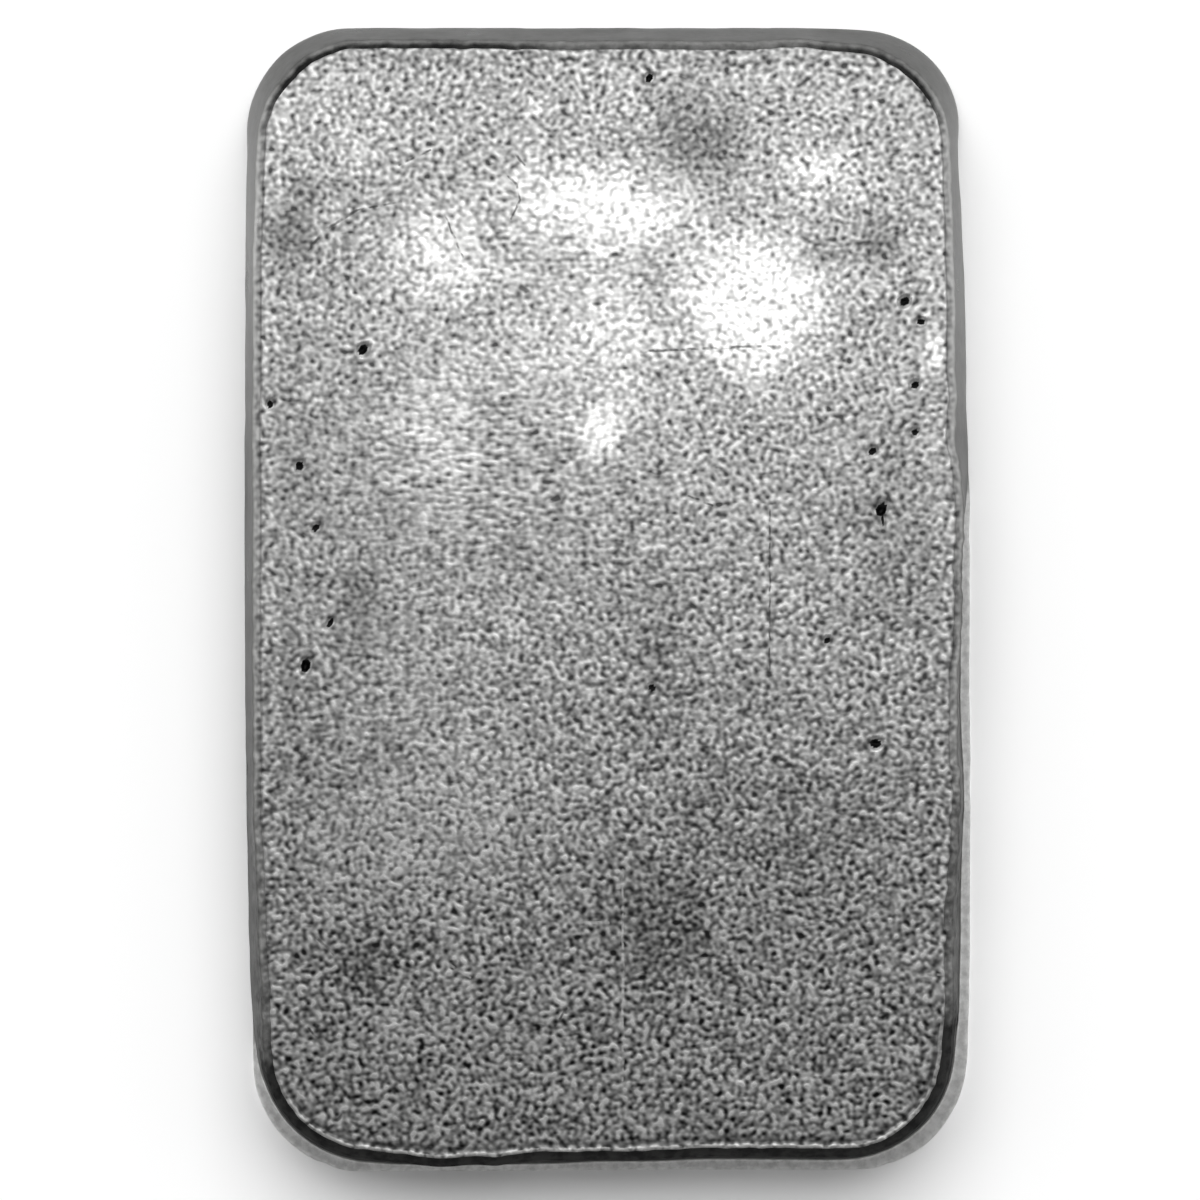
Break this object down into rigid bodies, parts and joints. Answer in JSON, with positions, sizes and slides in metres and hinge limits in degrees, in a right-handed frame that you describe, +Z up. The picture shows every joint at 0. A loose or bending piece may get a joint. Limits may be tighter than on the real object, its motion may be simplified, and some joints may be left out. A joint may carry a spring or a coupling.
{
  "type": "cast silver ingot",
  "caption": "Small cast silver ingot: flat slab with rounded corners, drafted sides, a rounded shoulder and a lip round its pour face.",
  "frame": {"origin": "centre of the pour face, which the ingot lies on", "axes": "+Z up out of the mould face, +Y along the ingot's length, +X along its width"},
  "size_m": [0.05, 0.0786, 0.008],
  "materials": {
    "cast_silver": "as-cast satin"
  },
  "bodies": {
    "root": {"ingot": "cast_silver"}
  },
  "joints": []
}
